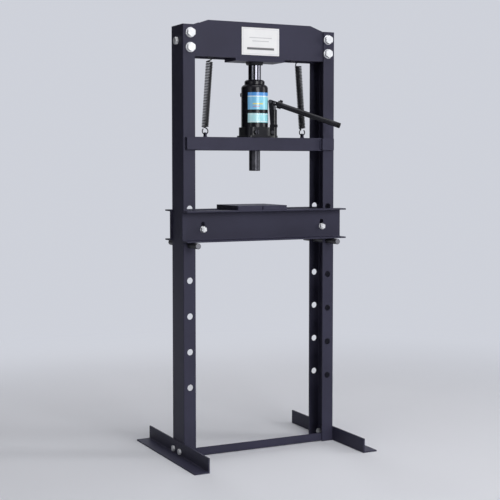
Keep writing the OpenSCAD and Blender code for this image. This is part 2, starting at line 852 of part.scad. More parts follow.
// Pump parts: x outwards from the jack's axis to the pump
module at_pump() { on_deck() rotate(-pump_angle) children(); }

// Handle parts: x along the handle from the fulcrum pin
module at_lever() {
  at_pump() translate([fulcrum_r, 0, fulcrum_z]) rotate([0, handle_slope, 0]) children();
}

// Bar with a round end about the pump's axis
module boss_outline(r) {
  polygon(concat([[0, -r]], arc([pump_r, 0], r, -90, 90, 16), [[0, r]]));
}

// Web that narrows from the block to a width at a distance from the jack's axis
module web_outline(reach, width) {
  polygon([[0, -web_root / 2], [reach, -width / 2], [reach, width / 2], [0, web_root / 2]]);
}

module jack_base() {
  color(gloss_black) difference() {
    union() {
      on_deck() linear_extrude(base_foot_t) {
        polygon(round_box(base_w, base_w, base_corner));
        rotate(-pump_angle) {
          boss_outline(boss_foot_r);
          web_outline(pump_r, 2 * boss_foot_r);
        }
      }
      on_deck() translate([0, 0, base_foot_t / 2]) linear_extrude(base_h - base_foot_t / 2) {
        polygon(round_box(block_w, block_w, block_corner));
        rotate(-pump_angle) {
          boss_outline(boss_r);
          web_outline(web_end, web_w);
        }
      }
    }
    on_deck() translate([0, 0, base_h - cylinder_seat])
      cylinder(d = cylinder_d + 2 * seat_gap, h = cylinder_seat + cut);
    at_pump() translate([pump_r, 0, base_h - barrel_seat])
      cylinder(d = barrel_d - 5 + 2 * seat_gap, h = barrel_seat + cut);
    at_pump() translate([link_low_r, 0, link_low_z]) rotate([90, 0, 0])
      cylinder(d = link_pin_d + 2 * seat_gap, h = 4 * boss_r, center = true);
    on_deck() translate([-valve_x, -block_w, valve_z]) rotate([-90, 0, 0])
      cylinder(d = valve_stem_d + 2 * run_gap, h = block_w / 2 + valve_stem_l + run_gap);
  }
}

module jack_cylinder() {
  color(bright) on_deck() translate([0, 0, base_h - cylinder_seat]) difference() {
    cylinder(d = cylinder_d, h = cylinder_top - base_h + cylinder_seat);
    translate([0, 0, -cut])
      cylinder(d = cylinder_bore, h = cylinder_top - base_h + cylinder_seat + 2 * cut);
  }
}

module jack_reservoir() {
  r = reservoir_d / 2;
  neck = cylinder_d / 2 + seat_gap;
  middle = [r - shoulder_h, reservoir_h];
  color(gloss_black) on_deck() translate([0, 0, base_h]) difference() {
    rotate_extrude() polygon(concat(
      [[r - reservoir_t, 0], [r, 0]],
      arc(middle, shoulder_h, 0, 90),
      [[neck, reservoir_h + shoulder_h], [neck, reservoir_h + shoulder_h - reservoir_t]],
      arc(middle, shoulder_h - reservoir_t, 90, 0)
    ));
    rotate(plug_turn) translate([r - 2 * reservoir_t, 0, plug_z]) rotate([0, 90, 0])
      cylinder(d = plug_stem_d + 2 * seat_gap, h = 3 * reservoir_t);
  }
}

module jack_top_nut() {
  bore = ram_d / 2 + run_gap;
  spigot = cylinder_bore / 2 - seat_gap;
  chamfer = 5;
  color(gloss_black) on_deck() translate([0, 0, cylinder_top]) rotate_extrude() polygon([
    [bore, -top_nut_spigot], [spigot, -top_nut_spigot], [spigot, 0], [top_nut_d / 2, 0],
    [top_nut_d / 2, top_nut_h - chamfer], [top_nut_d / 2 - chamfer, top_nut_h], [bore, top_nut_h]
  ]);
}

// Label field on the front of the reservoir
module label_field(z, h) {
  on_deck() translate([0, 0, base_h + z]) rotate(-90 - label_arc / 2)
    rotate_extrude(angle = label_arc) translate([reservoir_d / 2 + seat_gap / 2, 0])
      square([label_t, h]);
}

module label_lower() { color(cyan) label_field(label_low_z, label_low_h); }

module label_upper() {
  color(blue) label_field(label_low_z + label_low_h + label_gap_h, label_high_h);
}

module filler_plug() {
  color(rubber) on_deck() rotate(plug_turn)
    translate([reservoir_d / 2 + seat_gap, 0, base_h + plug_z]) rotate([0, 90, 0]) {
      cylinder(d = plug_d, h = plug_head_h);
      translate([0, 0, -1.5 * reservoir_t])
        cylinder(d = plug_stem_d, h = 1.5 * reservoir_t + plug_head_h / 2);
    }
}

// Ram with its piston below, a groove for the seal and a bore for the extension screw
module ram() {
  edge = 1;
  piston = piston_d / 2;
  bore = screw_d / 2 + seat_gap;
  groove = piston - groove_depth;
  color(bright) translate([0, 0, ram_low_z]) rotate_extrude() polygon([
    [0, 0], [piston, 0], [piston, groove_z], [groove, groove_z], [groove, groove_z + seal_h],
    [piston, groove_z + seal_h], [piston, piston_h], [ram_d / 2, piston_h],
    [ram_d / 2, ram_l - edge], [ram_d / 2 - edge, ram_l], [bore, ram_l],
    [bore, ram_l - screw_l - seat_gap], [0, ram_l - screw_l - seat_gap]
  ]);
}

module piston_seal() {
  low = piston_d / 2 - groove_depth + seat_gap;
  color(rubber) translate([0, 0, ram_low_z + groove_z]) rotate_extrude() translate([low, 0])
    square([cylinder_bore / 2 - run_gap - low, seal_h]);
}

module extension_screw() {
  color(bright) translate([0, 0, ram_top_z - screw_l]) {
    cylinder(d = screw_d, h = screw_l);
    cylinder(d = saddle_neck_d, h = screw_l + saddle_neck_h);
  }
}

module saddle() {
  color(gloss_black) translate([0, 0, ram_top_z]) difference() {
    cylinder(d1 = saddle_low_d, d2 = saddle_d, h = saddle_h);
    translate([0, 0, -cut])
      cylinder(d = saddle_neck_d + 2 * seat_gap, h = cut + saddle_neck_h + seat_gap);
  }
}

// Barrel with a spigot in the base and a hexagon to screw it in
module pump_barrel() {
  hex_af = barrel_d + 1;
  hex_h = 10;
  color(gloss_black) at_pump() translate([pump_r, 0, base_h]) difference() {
    union() {
      translate([0, 0, -barrel_seat]) cylinder(d = barrel_d - 5, h = barrel_seat + hex_h);
      cylinder(d = hex_af / cos(30), h = hex_h, $fn = 6);
      cylinder(d = barrel_d, h = barrel_top - base_h);
    }
    translate([0, 0, -barrel_seat - cut])
      cylinder(d = plunger_d + 2 * run_gap, h = barrel_top - base_h + barrel_seat + 2 * cut);
  }
}

// Plunger whose flat eye takes the pin
module pump_plunger() {
  color(bright) at_pump() difference() {
    union() {
      translate([pump_r, 0, plunger_low])
        cylinder(d = plunger_d, h = plunger_pin_z - eye_neck + 1 - plunger_low);
      translate([pump_r, eye_t / 2, plunger_pin_z]) rotate([90, 0, 0]) linear_extrude(eye_t)
        polygon(concat([[-eye_half, -eye_neck], [eye_half, -eye_neck]],
          arc([0, 0], eye_half, 0, 180, 16)));
    }
    translate([pump_r, 0, plunger_pin_z]) rotate([90, 0, 0])
      cylinder(d = plunger_pin_d + 2 * seat_gap, h = 2 * eye_t, center = true);
  }
}

module plunger_pin() {
  color(zinc) at_pump() translate([pump_r, 0, plunger_pin_z]) rotate([90, 0, 0])
    cylinder(d = plunger_pin_d, h = 2 * (ear_in + ear_t), center = true);
}

module fulcrum_links() {
  color(gloss_black) at_pump() for (side = [-1, 1]) difference() {
    translate([0, side * (link_in + link_t / 2) + link_t / 2, 0]) rotate([90, 0, 0])
      linear_extrude(link_t)
        polygon(stadium([link_low_r, link_low_z], [fulcrum_r, fulcrum_z], link_w / 2));
    for (p = [[link_low_r, link_low_z], [fulcrum_r, fulcrum_z]])
      translate([p.x, side * (link_in + link_t / 2), p.y]) rotate([90, 0, 0])
        cylinder(d = link_pin_d + 2 * seat_gap, h = link_t + 2 * cut, center = true);
  }
}

module link_pins() {
  reach = link_in + link_t;
  color(zinc) at_pump() for (p = [[link_low_r, link_low_z], [fulcrum_r, fulcrum_z]])
    translate([p.x, 0, p.y]) rotate([90, 0, 0]) {
      cylinder(d = link_pin_d, h = 2 * reach, center = true);
      for (end = [-1, 1])
        translate([0, 0, end * (reach + pin_head_t / 2)])
          cylinder(d = pin_head_d, h = pin_head_t, center = true);
    }
}

// Fork on the fulcrum pin with a slot for the plunger's pin, and the tube that takes the handle
module handle_socket() {
  color(gloss_black) at_lever() difference() {
    union() {
      for (side = [-1, 1])
        translate([0, side * (ear_in + ear_t / 2) + ear_t / 2, 0]) rotate([90, 0, 0])
          linear_extrude(ear_t)
            polygon(concat(arc([0, 0], ear_r, 90, 270, 16),
              [[socket_start + cut, -ear_r], [socket_start + cut, ear_r]]));
      translate([socket_start, 0, 0]) rotate([0, 90, 0])
        cylinder(d = handle_socket_d, h = socket_end - socket_start);
    }
    rotate([90, 0, 0])
      cylinder(d = link_pin_d + 2 * run_gap, h = 4 * (ear_in + ear_t), center = true);
    for (side = [-1, 1])
      translate([0, side * (ear_in + ear_t / 2) + ear_t, 0]) rotate([90, 0, 0])
        linear_extrude(2 * ear_t)
          polygon(stadium([slot_from, 0], [slot_to, 0], plunger_pin_d / 2 + slot_play));
    translate([handle_start, 0, 0]) rotate([0, 90, 0])
      cylinder(d = handle_d + 2 * seat_gap, h = socket_end - handle_start + cut);
    translate([clamp_s, 0, 0])
      cylinder(d = clamp_d + 2 * seat_gap, h = handle_socket_d);
  }
}

module handle() {
  color(gloss_black) at_lever() translate([handle_start, 0, 0]) rotate([0, 90, 0]) difference() {
    cylinder(d = handle_d, h = handle_end - handle_start);
    translate([0, 0, -cut])
      cylinder(d = handle_d - 2 * handle_wall, h = handle_end - handle_start + 2 * cut);
  }
}

// Cap with a round-edged head as wide as the handle, and a stem in its tube
module handle_cap() {
  r = handle_d / 2;
  stem = r - handle_wall - seat_gap;
  edge = 3;
  color(rubber) at_lever() translate([handle_end, 0, 0]) rotate([0, 90, 0]) rotate_extrude()
    polygon(concat(
      [[0, -cap_stem], [stem, -cap_stem], [stem, 0], [r, 0]],
      arc([r - edge, cap_head - edge], edge, 0, 90),
      [[0, cap_head]]
    ));
}

module handle_screw() {
  seat = handle_socket_d / 2 + seat_gap;
  color(gloss_black) at_lever() translate([clamp_s, 0, 0]) {
    translate([0, 0, handle_d / 2 + seat_gap])
      cylinder(d = clamp_d, h = seat - handle_d / 2 + clamp_head_h / 2);
    translate([0, 0, seat]) cylinder(d = clamp_head_d, h = clamp_head_h);
  }
}

// Valve screw with a cross slot in its head
module release_valve() {
  front = block_w / 2 + run_gap;
  color(zinc) on_deck() translate([-valve_x, -front, valve_z]) rotate([90, 0, 0]) difference() {
    union() {
      cylinder(d = valve_d, h = valve_l);
      translate([0, 0, -valve_stem_l]) cylinder(d = valve_stem_d, h = valve_stem_l + valve_l / 2);
    }
    for (a = [0, 90]) rotate(a)
      translate([-valve_d, -valve_slot_w / 2, valve_l - valve_slot_depth])
        cube([2 * valve_d, valve_slot_w, valve_slot_depth + cut]);
  }
}

left_upright();
right_upright();
beam_front_plate();
beam_rear_plate();
beam_stiffeners();
beam_end_plates();
head_plate();
spring_anchor_rods();
sign_plate();
beam_bolts();
beam_washers();
beam_nuts();
side_bolts();
side_nuts();
left_foot();
right_foot();
foot_bolts();
foot_nuts();
lower_brace();
bed_front_channel();
bed_rear_channel();
bed_tie_rods();
bed_tie_washers();
bed_tie_nuts();
left_bed_pin();
right_bed_pin();
left_press_plate();
right_press_plate();
carriage_channel();
carriage_pad();
front_guide_plates();
rear_guide_plates();
pin_socket();
pressing_pin();
pin_set_screw();
spring_lugs();
left_spring();
right_spring();
jack_base();
jack_cylinder();
jack_reservoir();
jack_top_nut();
label_upper();
label_lower();
filler_plug();
ram();
piston_seal();
extension_screw();
saddle();
pump_barrel();
pump_plunger();
plunger_pin();
fulcrum_links();
link_pins();
handle_socket();
handle();
handle_cap();
handle_screw();
release_valve();
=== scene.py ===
import json

import bpy
import numpy as np
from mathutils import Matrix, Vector


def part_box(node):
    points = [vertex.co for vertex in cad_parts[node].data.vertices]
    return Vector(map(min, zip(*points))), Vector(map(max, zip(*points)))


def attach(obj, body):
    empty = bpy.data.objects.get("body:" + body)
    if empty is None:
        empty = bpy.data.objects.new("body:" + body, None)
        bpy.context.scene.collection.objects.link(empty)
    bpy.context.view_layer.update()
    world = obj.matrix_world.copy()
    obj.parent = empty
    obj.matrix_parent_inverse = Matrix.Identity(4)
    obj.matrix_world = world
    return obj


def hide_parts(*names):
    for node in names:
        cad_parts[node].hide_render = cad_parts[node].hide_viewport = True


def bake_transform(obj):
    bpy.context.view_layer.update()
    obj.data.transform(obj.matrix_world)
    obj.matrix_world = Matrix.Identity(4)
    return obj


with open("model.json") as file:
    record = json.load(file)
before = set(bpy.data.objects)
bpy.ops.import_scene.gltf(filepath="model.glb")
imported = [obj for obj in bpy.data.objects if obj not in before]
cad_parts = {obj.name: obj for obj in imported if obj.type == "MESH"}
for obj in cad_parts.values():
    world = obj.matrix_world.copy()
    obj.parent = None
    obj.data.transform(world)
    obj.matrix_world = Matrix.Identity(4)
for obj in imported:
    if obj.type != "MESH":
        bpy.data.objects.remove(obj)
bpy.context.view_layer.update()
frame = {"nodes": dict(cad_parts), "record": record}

MM = 0.001


# Shader maths


class Value:
    """A socket that takes part in Python arithmetic; each operation adds one Math node."""

    def __init__(self, paint, socket):
        self.paint = paint
        self.socket = socket

    def __add__(self, other):
        return self.paint.math("ADD", self, other)

    def __radd__(self, other):
        return self.paint.math("ADD", other, self)

    def __sub__(self, other):
        return self.paint.math("SUBTRACT", self, other)

    def __rsub__(self, other):
        return self.paint.math("SUBTRACT", other, self)

    def __mul__(self, other):
        return self.paint.math("MULTIPLY", self, other)

    def __rmul__(self, other):
        return self.paint.math("MULTIPLY", other, self)

    def __truediv__(self, other):
        return self.paint.math("DIVIDE", self, other)

    def __abs__(self):
        return self.paint.math("ABSOLUTE", self)


class Nodes:
    """A node tree under construction, with the one method that adds nodes."""

    def __init__(self, tree):
        self.tree = tree

    def node(self, kind, settings=None, inputs=None, output=0):
        """One node: settings are set first, then inputs by name or number take values or links."""
        made = self.tree.nodes.new("ShaderNode" + kind)
        for key, value in (settings or {}).items():
            setattr(made, key, value)
        for key, value in (inputs or {}).items():
            if isinstance(value, Value):
                self.tree.links.new(value.socket, made.inputs[key])
            else:
                made.inputs[key].default_value = value
        return Value(self, made.outputs[output])

    def math(self, operation, *terms):
        return self.node("Math", {"operation": operation}, dict(enumerate(terms)))

    def ramp(self, value, low, high, to_low=0.0, to_high=1.0):
        """Smooth step of a value from low to high."""
        return self.node("MapRange", {"interpolation_type": "SMOOTHSTEP"}, {
            "Value": value, "From Min": low, "From Max": high, "To Min": to_low, "To Max": to_high})

    def seen(self):
        """1 for a ray that shows the surround: straight to the camera, by reflection or through glass."""
        path = self.node("LightPath").socket.node.outputs
        camera, glossy, through = (
            Value(self, path[f"Is {kind} Ray"]) for kind in ("Camera", "Glossy", "Transmission"))
        return self.math("MAXIMUM", camera, self.math("MAXIMUM", glossy, through))


class Paint(Nodes):
    """A material under construction: its Principled shader, with constants set on the shader's sockets."""

    def __init__(self, name, **constants):
        self.material = bpy.data.materials.new(name)
        self.material.use_nodes = True
        super().__init__(self.material.node_tree)
        self.shader = self.tree.nodes["Principled BSDF"]
        for socket, value in constants.items():
            self.shader.inputs[socket.replace("_", " ").title().replace("Ior", "IOR")].default_value = value

    def feed(self, socket, value):
        """Links a value to a socket of the Principled shader."""
        self.tree.links.new(value.socket, self.shader.inputs[socket])

    def place(self):
        """Object coordinates, which are the frame's own metres."""
        return self.node("TexCoord", output="Object")

    def axes(self):
        """The three Object coordinates as values."""
        split = self.node("SeparateXYZ", inputs={0: self.place()})
        return [Value(self, socket) for socket in split.socket.node.outputs]

    def noise(self, scale, detail=2.0, stretch=(1, 1, 1), rough=0.5):
        """Noise about 0.5, with scale in features per metre, drawn out by stretch."""
        spot = self.node("Mapping", inputs={"Vector": self.place(), "Scale": stretch})
        return self.node("TexNoise", inputs={
            "Vector": spot, "Scale": scale, "Detail": detail, "Roughness": rough})

    def band(self, value, low, high, soft):
        """1 between low and high with soft edges, 0 outside."""
        return self.ramp(value, low - soft, low + soft) * (1 - self.ramp(value, high - soft, high + soft))

    def mix(self, factor, first, second):
        """Colour mix: tuples or linked colours."""
        colours = [c if isinstance(c, Value) else (*c, 1.0) for c in (first, second)]
        return self.node("Mix", {"data_type": "RGBA"}, {
            "Factor": factor, 6: colours[0], 7: colours[1]}, output=2)

    def bump(self, height, depth):
        """Bump of a height from 0 to 1 that is depth metres deep, into Normal."""
        self.feed("Normal", self.node("Bump", inputs={"Height": height, "Distance": depth}, output="Normal"))


# Finishes


def shade(colour, factor, lift=0.0):
    """A colour scaled by a factor, with a little grey added."""
    return tuple(c * factor + lift for c in colour)


def powder_coat(name, colour, rough):
    """Satin powder coat: fine orange peel, slow clouds in tone and gloss, and sparse pale dust specks."""
    paint = Paint(name, metallic=0.0, specular_ior_level=0.16)
    peel = paint.noise(520, 3.0)
    clouds = paint.noise(6.0, 4.0)
    specks = paint.ramp(paint.noise(230, 5.0, rough=0.65), 0.62, 0.80)
    tone = paint.mix(paint.ramp(clouds, 0.3, 0.7), shade(colour, 0.90), shade(colour, 1.10))
    paint.feed("Base Color", paint.mix(specks * 0.10, tone, shade(colour, 2.4, 0.02)))
    paint.feed("Roughness", rough + (clouds - 0.5) * 0.12 + (peel - 0.5) * 0.12)
    paint.bump(peel, 0.00018)
    return paint.material


def enamel(name, colour, rough, grain_scale, grain, gloss=0.12):
    """Enamel under a clear coat of weight gloss, with the grain of the surface under it showing through."""
    paint = Paint(name, metallic=0.0, specular_ior_level=0.16, coat_weight=gloss, coat_roughness=0.09)
    surface = paint.noise(grain_scale, 3.0)
    clouds = paint.noise(18, 3.0)
    tone = paint.mix(paint.ramp(clouds, 0.3, 0.7), colour, shade(colour, 1.4, 0.001))
    paint.feed("Base Color", tone)
    paint.feed("Roughness", rough + (clouds - 0.5) * 0.12 + (surface - 0.5) * 0.08)
    paint.bump(surface, grain)
    return paint.material


def plated(name, colour, stain, rough, metal, streak=(1, 1, 1), haze=0.13):
    """Plated or turned metal: hazy patches, and tool marks drawn out by streak; both roughen it by haze."""
    paint = Paint(name, metallic=metal)
    patches = paint.noise(90, 4.0)
    marks = paint.noise(900, 2.0, stretch=streak)
    paint.feed("Base Color", paint.mix(paint.ramp(patches, 0.35, 0.75), colour, stain))
    paint.feed("Roughness", rough + (patches + marks - 1) * haze)
    paint.bump(marks, 0.0004 * haze)
    return paint.material


def pin_bar(name, half_length):
    """Blackened round bar along Y whose sawn ends, beyond half_length, are bare grey steel with saw marks."""
    paint = Paint(name, specular_ior_level=0.35)
    x, y, z = paint.axes()
    bare = paint.ramp(abs(y), half_length - 0.8 * MM, half_length - 0.2 * MM)
    saw = paint.noise(700, 2.0, stretch=(0.05, 0.05, 1))
    scale = paint.noise(160, 4.0)
    black = paint.mix(paint.ramp(scale, 0.35, 0.75), (0.020, 0.020, 0.024), (0.042, 0.042, 0.048))
    paint.feed("Base Color", paint.mix(bare, black, (0.17, 0.17, 0.19)))
    paint.feed("Metallic", bare * 0.5)
    paint.feed("Roughness", 0.44 + (scale - 0.5) * 0.2)
    paint.bump(saw * bare + scale * 0.4, 0.00010)
    return paint.material


def soft_rubber(name):
    """Matt moulded rubber with a fine grain and a bloom of dust."""
    paint = Paint(name, metallic=0.0, specular_ior_level=0.15)
    grain = paint.noise(1100, 2.0)
    bloom = paint.noise(60, 4.0)
    tone = paint.mix(paint.ramp(bloom, 0.35, 0.8), (0.006, 0.006, 0.007), (0.013, 0.013, 0.014))
    paint.feed("Base Color", tone)
    paint.feed("Roughness", 0.62 + (bloom - 0.5) * 0.25)
    paint.bump(grain, 0.00015)
    return paint.material


def sign_face(name, low, high):
    """White enamel plate with a plain ruled field: a hairline border, one bar and two short rules."""
    paint = Paint(name, metallic=0.0, specular_ior_level=0.3)
    x, y, z = paint.axes()
    across = abs((x - low.x) / (high.x - low.x) - 0.5)
    up = (z - low.z) / (high.z - low.z)
    high_up = abs(up - 0.5)
    fine = 0.004

    def field(half_wide, half_high):
        return (1 - paint.ramp(across, half_wide - fine, half_wide + fine)) * (
            1 - paint.ramp(high_up, half_high - fine, half_high + fine))

    def bar(half_wide, bottom, top):
        return paint.band(across, -1.0, half_wide, fine) * paint.band(up, bottom, top, fine)

    haze = paint.noise(30, 4.0)
    white = paint.mix(paint.ramp(haze, 0.3, 0.8), (0.86, 0.86, 0.87), (0.81, 0.81, 0.83))
    bordered = paint.mix((field(0.470, 0.455) - field(0.462, 0.443)) * 0.5, white, (0.42, 0.42, 0.45))
    ruled = paint.mix((bar(0.30, 0.62, 0.65) + bar(0.22, 0.50, 0.53)) * 0.6, bordered, (0.40, 0.40, 0.43))
    paint.feed("Base Color", paint.mix(bar(0.36, 0.20, 0.28) * 0.9, ruled, (0.06, 0.06, 0.07)))
    paint.feed("Roughness", 0.42 + (haze - 0.5) * 0.2)
    paint.bump(paint.noise(700, 2.0), 0.00004)
    return paint.material


def label_face(name, low, high, left, right, bands):
    """Printed film on the reservoir: a ground that pales round the cylinder, crossed by level bands.

    A band is its colour, its lower and upper edge as shares of the height, and its first and last turn.
    """
    paint = Paint(name, metallic=0.0, specular_ior_level=0.45)
    x, y, z = paint.axes()
    turn = paint.math("ARCTAN2", x, 0 - y)
    up = (z - low.z) / (high.z - low.z)
    haze = paint.noise(45, 3.0)
    tone = paint.mix(paint.ramp(turn + (haze - 0.5) * 0.2, -0.9, 0.8), left, right)
    for colour, bottom, top, first, last in bands:
        patch = paint.band(up, bottom, top, 0.010) * paint.band(turn, first, last, 0.012)
        tone = paint.mix(patch, tone, colour)
    paint.feed("Base Color", tone)
    paint.feed("Roughness", 0.19 + (haze - 0.5) * 0.10)
    paint.bump(haze, 0.00005)
    return paint.material


SKY, AZURE, CYAN = (0.10, 0.33, 0.76), (0.22, 0.55, 0.86), (0.33, 0.76, 0.86)
WHITE = (0.74, 0.88, 0.92)
YELLOW, RED = (0.86, 0.74, 0.22), (0.75, 0.16, 0.20)
PIN_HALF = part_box("left_bed_pin")[1].y

FINISHES = {
    "black_coat": powder_coat("satin_black_coat", (0.034, 0.033, 0.057), 0.50),
    "zinc": plated("bright_zinc", (0.78, 0.79, 0.81), (0.68, 0.69, 0.72), 0.48, 0.30),
    "dark_steel": plated("black_oxide", (0.032, 0.032, 0.040), (0.060, 0.060, 0.072), 0.36, 0.6, (1, 0.1, 1)),
    "spring_black": enamel("spring_lacquer", (0.010, 0.010, 0.013), 0.30, 900, 0.00008, 0.35),
    "jack_gloss": enamel("jack_enamel", (0.008, 0.008, 0.011), 0.26, 260, 0.00006),
    "jack_casting": enamel("casting_enamel", (0.008, 0.008, 0.011), 0.34, 330, 0.00040),
    "polished_steel": plated(
        "polished_ram", (0.14, 0.14, 0.165), (0.12, 0.12, 0.14), 0.19, 1.0, (0.03, 0.03, 1), 0.02),
    "sign_white": sign_face("sign_enamel", *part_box("sign_plate")),
    "label_blue": label_face("label_film_upper", *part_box("label_upper"), AZURE, CYAN, (
        (SKY, 0.80, 1.10, -2.0, 2.0), (WHITE, 0.74, 0.80, -2.0, 2.0),
        (YELLOW, 0.30, 0.37, -0.60, 0.20), (RED, 0.17, 0.20, -0.60, -0.05))),
    "label_cyan": label_face("label_film_lower", *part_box("label_lower"), (0.52, 0.86, 0.91), CYAN, (
        (WHITE, 0.86, 0.93, -2.0, 2.0), (WHITE, 0.07, 0.14, -2.0, 2.0))),
    "rubber": soft_rubber("moulded_rubber"),
}
OWN_FINISH = {node: pin_bar("sawn_pin", PIN_HALF) for node in ("left_bed_pin", "right_bed_pin")}


# Surfaces


def shaped(name, parts):
    """A smooth mesh object at the origin from parts, each an array of points with its list of faces."""
    starts = np.cumsum([0] + [len(points) for points, faces in parts])
    joined = [
        tuple(np.add(face, start)) for (points, faces), start in zip(parts, starts) for face in faces]
    mesh = bpy.data.meshes.new(name)
    mesh.from_pydata(np.vstack([points for points, faces in parts]).tolist(), [], joined)
    mesh.update()
    mesh.polygons.foreach_set("use_smooth", np.ones(len(mesh.polygons), bool))
    made = bpy.data.objects.new(name, mesh)
    bpy.context.scene.collection.objects.link(made)
    return made


def sleeve(rings):
    """Points and faces of a closed sleeve from an array of rings: quads between rings, a cap at each end."""
    count, sides = rings.shape[:2]
    row, column = np.meshgrid(np.arange(count - 1), np.arange(sides), indexing="ij")
    here = (row * sides + column).ravel()
    beside = (row * sides + (column + 1) % sides).ravel()
    quads = np.stack([here, beside, beside + sides, here + sides], axis=1).tolist()
    caps = [list(range(sides))[::-1], list(range((count - 1) * sides, count * sides))]
    return rings.reshape(-1, 3), quads + caps


def unit(vectors):
    """Vectors scaled to length 1."""
    return vectors / np.linalg.norm(vectors, axis=-1, keepdims=True)


def wire(path, across, radius, sides=10):
    """Round wire: a circle carried along the path in the plane of the path's normal nearest to across."""
    tangent = unit(np.gradient(path, axis=0))
    side = unit(np.cross(tangent, across))
    lift = np.cross(side, tangent)
    turn = np.linspace(0, 2 * np.pi, sides, endpoint=False)[None, :, None]
    return sleeve(path[:, None] + radius * (side[:, None] * np.cos(turn) + lift[:, None] * np.sin(turn)))


def hermite(start, start_way, end, end_way, count):
    """Cubic from start to end that leaves along start_way and arrives along end_way, ends left out."""
    t = np.linspace(0, 1, count + 2)[1:-1, None]
    return ((2 * t**3 - 3 * t**2 + 1) * start + (t**3 - 2 * t**2 + t) * start_way
            + (3 * t**2 - 2 * t**3) * end + (t**3 - t**2) * end_way)


def ring_arc(centre, radius, first, last, count):
    """Points on a circle in the frame's plane, angles in degrees from +X towards +Z."""
    angle = np.radians(np.linspace(first, last, count))
    across, up = radius * np.cos(angle), radius * np.sin(angle)
    return np.stack([centre[0] + across, 0 * angle, centre[1] + up], axis=1)


# Return springs

WIRE = 4 * MM
COIL = 10.5 * MM
LOOP = 10.5 * MM
TURNS = 42
TURN_STEPS = 20
LEAD_STEPS = 14
LEAD_PULL = 14 * MM
LOOP_TURN = (235, -70)
HOOK_TURN = (120, 410)
ANCHOR = (163 * MM, 1370.3 * MM)
LUG = (190 * MM, 1114.7 * MM)
COIL_TOP = (173.5 * MM, 1351 * MM)
COIL_LOW = (190 * MM, 1129.2 * MM)


def spring_path(begin):
    """Right-hand spring: a loop over the anchor rod, turns about a leaning axis, and an open hook in the lug.

    The turns are top + share * run + COIL * (cos, sin) about the axis, from the angle begin, and the leads
    are cubics.
    """
    top = np.array([COIL_TOP[0], 0, COIL_TOP[1]])
    run = np.array([COIL_LOW[0], 0, COIL_LOW[1]]) - top
    axis = unit(run)
    inner = np.array([axis[2], 0, -axis[0]])
    back = np.array([0, 1.0, 0])
    turn = np.linspace(begin, begin + 2 * np.pi * TURNS, TURNS * TURN_STEPS + 1)[:, None]
    share = (turn - turn[0]) / (turn[-1] - turn[0])
    coil = top + run * share + COIL * (np.cos(turn) * inner + np.sin(turn) * back)
    upper = ring_arc(ANCHOR, LOOP, *LOOP_TURN, 30)
    lower = ring_arc(LUG, LOOP, *HOOK_TURN, 28)
    leads = [
        hermite(a[-1], LEAD_PULL * unit(a[-1] - a[-2]), b[0], LEAD_PULL * unit(b[1] - b[0]), LEAD_STEPS)
        for a, b in ((upper, coil), (coil, lower))]
    parts = [upper, leads[0], coil, leads[1], lower]
    weight = np.concatenate([
        np.full(len(upper), 0.0), np.linspace(0, 1, LEAD_STEPS), np.full(len(coil), 1.0),
        np.linspace(1, 0, LEAD_STEPS), np.full(len(lower), 0.0)])[:, None]
    return np.vstack(parts), weight * axis + (1 - weight) * back


def return_spring(name, side, begin):
    """One spring in place of its solid, its loop at the anchor rod and its hook in the lug."""
    path, across = spring_path(begin)
    points, faces = wire(path, across, WIRE / 2)
    points = points * (side, 1, 1)
    if side < 0:
        faces = [face[::-1] for face in faces]
    piece = shaped(name, [(points, faces)])
    piece.data.materials.append(FINISHES["spring_black"])
    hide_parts(name.replace("_coil", ""))
    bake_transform(piece)


return_spring("left_spring_coil", -1, np.pi)
return_spring("right_spring_coil", 1, 0.0)


# Weld beads

BEAD_PITCH = 2.6 * MM
BEAD_ARC = 9
BEAD_SINK = 0.5 * MM
HOLLOW = 0.20
RIPPLE = 0.07


def bead(start, end, out_a, out_b, leg):
    """Fillet weld in the corner of two faces that run along out_a and out_b from the seam.

    Its reach from the seam at the angle t is leg * (1 - HOLLOW sin(2t)^2 + RIPPLE cos(phase)), where the
    phase runs along the seam and is bowed by t, and it sinks away at both ends.
    """
    start, end, out_a, out_b = (np.asarray(v, float) for v in (start, end, out_a, out_b))
    length = np.linalg.norm(end - start)
    s = np.linspace(0, 1, max(12, int(length / BEAD_PITCH * 5)))[:, None]
    t = np.linspace(0, np.pi / 2, BEAD_ARC)[None, :]
    phase = 2 * np.pi * (s * length / BEAD_PITCH + 0.30 * np.sin(2 * t))
    ends = np.sqrt(np.clip(1 - np.abs(2 * s - 1) ** 14, 0.02, 1))
    reach = leg * ends * (1 - HOLLOW * np.sin(2 * t) ** 2 + RIPPLE * np.cos(phase))
    along_a = np.concatenate([reach * np.cos(t), -BEAD_SINK + 0 * s], axis=1)
    along_b = np.concatenate([reach * np.sin(t), -BEAD_SINK + 0 * s], axis=1)
    along_a[:, BEAD_ARC - 1] = -BEAD_SINK
    along_b[:, 0] = -BEAD_SINK
    path = (start + (end - start) * s)[:, None]
    rings = path + along_a[..., None] * out_a + along_b[..., None] * out_b
    if np.dot(np.cross(out_a, out_b), end - start) < 0:
        rings = rings[::-1]
    return sleeve(rings)


def weld_run(name, body, beads):
    """Beads as one piece that rides on a body, under the same coat as the steel."""
    piece = shaped(name, beads)
    piece.data.materials.append(FINISHES["black_coat"])
    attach(piece, body)


GUIDE_LEG, LUG_LEG, STIFF_LEG = 5 * MM, 3.5 * MM, 6 * MM
GUIDE_EDGE = 238 * MM
GUIDE_INSET = 2 * MM
BAR_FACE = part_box("carriage_channel")[1].y
GUIDE_LOW, GUIDE_HIGH = (corner.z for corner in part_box("front_guide_plates"))
LUG_HALF = 3 * MM
LUG_LOW, LUG_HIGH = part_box("spring_lugs")
LUG_MIDDLE = LUG_HIGH.x - LUG_HALF
STIFF_FACES = (65 * MM, 75 * MM)
STIFF_LOW, STIFF_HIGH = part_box("beam_stiffeners")

